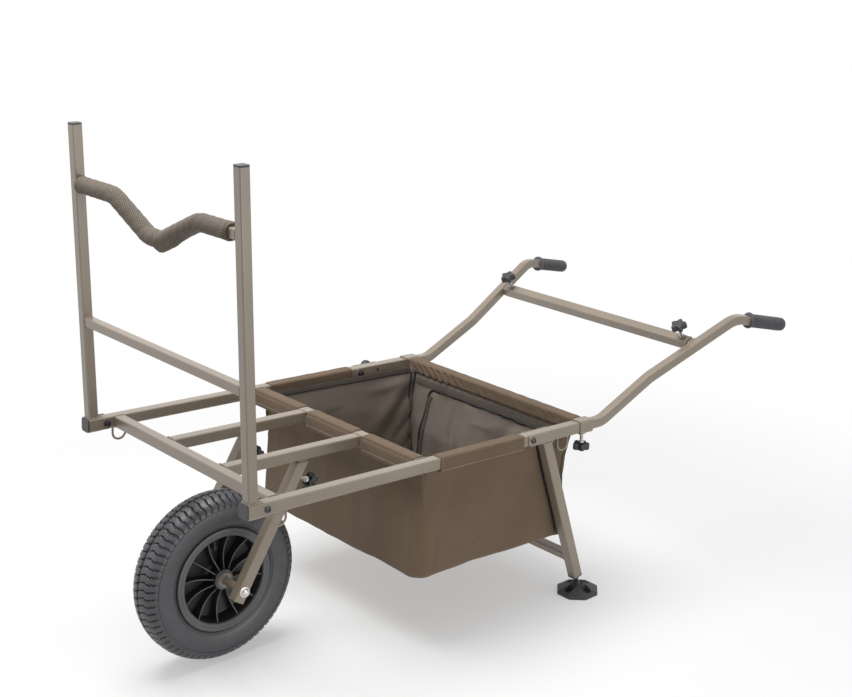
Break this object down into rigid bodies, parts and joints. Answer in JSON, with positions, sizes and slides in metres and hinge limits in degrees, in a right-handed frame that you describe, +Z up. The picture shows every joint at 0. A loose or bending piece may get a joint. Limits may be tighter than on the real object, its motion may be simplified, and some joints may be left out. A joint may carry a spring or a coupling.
{
  "type": "fishing trolley",
  "caption": "Folding fishing trolley: square-tube frame on one front wheel and rear legs with feet, hung cloth bag, fold-down rest bar and sliding push handles.",
  "frame": {"origin": "under the middle of the outline, on the floor", "axes": "+X towards the pusher's left, +Y back towards the handles, +Z up"},
  "size_m": [0.7864, 1.5994, 1.1181],
  "materials": {
    "frame_paint": "satin metallic beige powder coat",
    "black_plastic": "moulded matte black",
    "rim_plastic": "moulded black rim",
    "grip_rubber": "ribbed soft rubber",
    "foot_rubber": "moulded rubber",
    "inner_rubber": "butyl rubber",
    "tyre": "black tyre rubber with block tread",
    "zinc": "zinc plated",
    "black_bolt": "black oxide",
    "bag_cloth": "coated woven polyester, grey-brown",
    "sleeve_cloth": "padded mesh fabric, grey-brown"
  },
  "bodies": {
    "frame": {"side_rail_left": "frame_paint", "side_rail_right": "frame_paint", "middle_rail_left": "frame_paint", "middle_rail_right": "frame_paint", "clamp_collar_left": "frame_paint", "clamp_collar_right": "frame_paint", "tie_loop_front_left": "frame_paint", "tie_loop_front_right": "frame_paint", "tie_loop_rear_left": "frame_paint", "tie_loop_rear_right": "frame_paint", "front_pivot_bolt_left": "black_bolt", "front_pivot_bolt_right": "black_bolt", "rear_pivot_bolt_left": "black_bolt", "rear_pivot_bolt_right": "black_bolt", "front_crossbar": "frame_paint", "rim_crossbar": "frame_paint", "rear_crossbar": "frame_paint", "bag": "bag_cloth"},
    "front_bar": {"hinge_bracket_left": "frame_paint", "hinge_bracket_right": "frame_paint", "bracket_plug_left": "black_plastic", "bracket_plug_right": "black_plastic", "mast_left": "frame_paint", "mast_right": "frame_paint", "mast_cap_left": "black_plastic", "mast_cap_right": "black_plastic", "lower_bar": "frame_paint", "rest_bar": "frame_paint", "rest_bar_sleeve": "sleeve_cloth"},
    "fork": {"fork_leg_left": "frame_paint", "fork_leg_right": "frame_paint", "axle_spacer_left": "frame_paint", "axle_spacer_right": "frame_paint", "axle": "zinc", "axle_nut": "zinc"},
    "wheel": {"tyre": "tyre", "rim": "rim_plastic", "inner_tube": "inner_rubber"},
    "rear_legs": {"leg_channel_left": "frame_paint", "leg_channel_right": "frame_paint", "rear_leg_left": "frame_paint", "rear_leg_right": "frame_paint", "ball_stud_left": "black_plastic", "ball_stud_right": "black_plastic", "leg_brace": "frame_paint"},
    "lock_pin": {"lock_pin": "black_plastic"},
    "foot_left": {"foot_left": "foot_rubber"},
    "foot_right": {"foot_right": "foot_rubber"},
    "handles": {"handle_left": "frame_paint", "handle_right": "frame_paint", "grip_left": "grip_rubber", "grip_right": "grip_rubber", "handle_crossbar": "frame_paint"},
    "clamp_knob_left": {"clamp_knob_left": "black_plastic"},
    "clamp_knob_right": {"clamp_knob_right": "black_plastic"},
    "fork_knob_left": {"fork_knob_left": "black_plastic"},
    "fork_knob_right": {"fork_knob_right": "black_plastic"},
    "handle_knob_left": {"handle_knob_left": "black_plastic"},
    "handle_knob_right": {"handle_knob_right": "black_plastic"}
  },
  "joints": [
    {"name": "front_bar_fold", "type": "hinge", "parent": "frame", "child": "front_bar", "pos_m": [0, -0.69032, 0.46057], "axis": [-1, 0, 0], "range_deg": [0, 90]},
    {"name": "fork_slide", "type": "slide", "parent": "frame", "child": "fork", "axis": [0, -0.5425, -0.8401], "range_m": [0, 0.06]},
    {"name": "wheel_spin", "type": "hinge", "parent": "fork", "child": "wheel", "pos_m": [0, -0.61656, 0.185], "axis": [1, 0, 0], "continuous": true},
    {"name": "rear_legs_fold", "type": "hinge", "parent": "frame", "child": "rear_legs", "pos_m": [0, 0.00513, 0.42225], "axis": [-1, 0, 0], "range_deg": [0, 60]},
    {"name": "lock_pin_pull", "type": "slide", "parent": "rear_legs", "child": "lock_pin", "axis": [-1, 0, 0], "range_m": [0, 0.008], "stiffness_N_per_m": 500},
    {"name": "foot_tilt_left", "type": "hinge", "parent": "rear_legs", "child": "foot_left", "pos_m": [0.307, 0.1702, 0.016], "axis": [1, 0, 0], "range_deg": [-15, 15]},
    {"name": "foot_tilt_right", "type": "hinge", "parent": "rear_legs", "child": "foot_right", "pos_m": [-0.307, 0.1702, 0.016], "axis": [1, 0, 0], "range_deg": [-15, 15]},
    {"name": "handles_slide", "type": "slide", "parent": "frame", "child": "handles", "axis": [0, 0.9985, -0.055], "range_m": [-0.025, 0.045]},
    {"name": "clamp_knob_left_turn", "type": "hinge", "parent": "frame", "child": "clamp_knob_left", "pos_m": [0.307, 0.17155, 0.39806], "axis": [0, -0.055, -0.9985], "continuous": true},
    {"name": "clamp_knob_right_turn", "type": "hinge", "parent": "frame", "child": "clamp_knob_right", "pos_m": [-0.307, 0.17155, 0.39806], "axis": [0, -0.055, -0.9985], "continuous": true},
    {"name": "fork_knob_left_turn", "type": "hinge", "parent": "fork", "child": "fork_knob_left", "pos_m": [0.1, -0.46409, 0.39806], "axis": [0, 0.8401, -0.5425], "continuous": true},
    {"name": "fork_knob_right_turn", "type": "hinge", "parent": "fork", "child": "fork_knob_right", "pos_m": [-0.1, -0.46409, 0.39806], "axis": [0, 0.8401, -0.5425], "continuous": true},
    {"name": "handle_knob_left_turn", "type": "hinge", "parent": "handles", "child": "handle_knob_left", "pos_m": [0.2958, 0.51826, 0.54784], "axis": [0, -0.3944, 0.9189], "continuous": true},
    {"name": "handle_knob_right_turn", "type": "hinge", "parent": "handles", "child": "handle_knob_right", "pos_m": [-0.2958, 0.51826, 0.54784], "axis": [0, -0.3944, 0.9189], "continuous": true}
  ]
}
